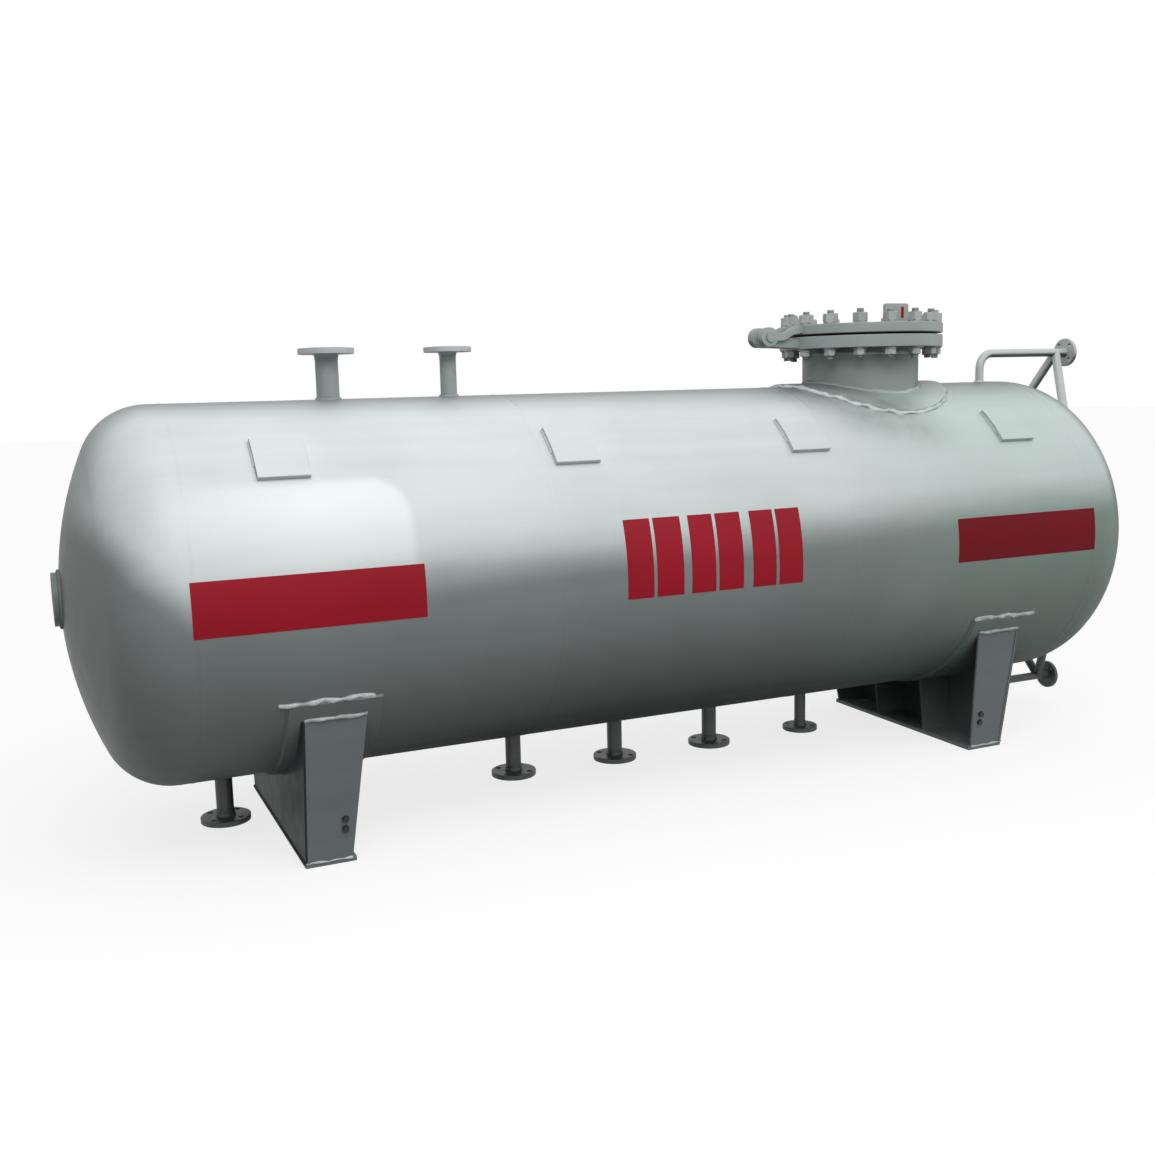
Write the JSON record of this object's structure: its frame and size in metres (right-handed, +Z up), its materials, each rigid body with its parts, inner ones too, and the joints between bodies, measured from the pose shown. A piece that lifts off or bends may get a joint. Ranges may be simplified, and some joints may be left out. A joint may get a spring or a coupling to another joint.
{
  "type": "horizontal cylindrical gas storage tank",
  "caption": "Horizontal welded gas storage tank with dished ends, a bolted manhole, flanged nozzles above and below, gauge connections and two welded saddles.",
  "frame": {"origin": "on the ground below the middle of the outline", "axes": "+X along the shell towards the gauge end, +Y to the rear, +Z up"},
  "size_m": [4.1838, 1.224, 1.756],
  "materials": {
    "silver_paint": "satin aluminium paint",
    "under_paint": "satin dark grey paint",
    "saddle_paint": "satin grey paint",
    "gasket": "matt"
  },
  "bodies": {
    "root": {"shell_course_left": "silver_paint", "shell_course_mid": "silver_paint", "shell_course_right": "silver_paint", "head_left": "silver_paint", "head_right": "silver_paint", "end_boss": "silver_paint", "manhole_pad": "silver_paint", "manhole_neck": "silver_paint", "manhole_flange": "silver_paint", "manhole_gasket": "gasket", "manhole_cover": "silver_paint", "cover_ears": "silver_paint", "flange_ears": "silver_paint", "hinge_pin": "under_paint", "cover_lug": "silver_paint", "top_neck_1": "silver_paint", "top_flange_1": "silver_paint", "top_neck_2": "silver_paint", "top_flange_2": "silver_paint", "bottom_neck_1": "under_paint", "bottom_flange_1": "under_paint", "bottom_neck_2": "under_paint", "bottom_flange_2": "under_paint", "bottom_neck_3": "under_paint", "bottom_flange_3": "under_paint", "bottom_neck_4": "under_paint", "bottom_flange_4": "under_paint", "drain_neck": "under_paint", "drain_flange": "under_paint", "gauge_pipe_upper": "silver_paint", "gauge_flange_upper": "silver_paint", "gauge_braces_upper": "silver_paint", "gauge_pipe_lower": "under_paint", "gauge_flange_lower": "under_paint", "gauge_braces_lower": "under_paint", "left_base_plate": "saddle_paint", "left_web": "saddle_paint", "left_ribs": "saddle_paint", "left_wear_plate": "saddle_paint", "right_base_plate": "saddle_paint", "right_web": "saddle_paint", "right_ribs": "saddle_paint", "right_wear_plate": "saddle_paint", "front_bracket_pads": "silver_paint", "rear_bracket_pads": "silver_paint"}
  },
  "joints": []
}
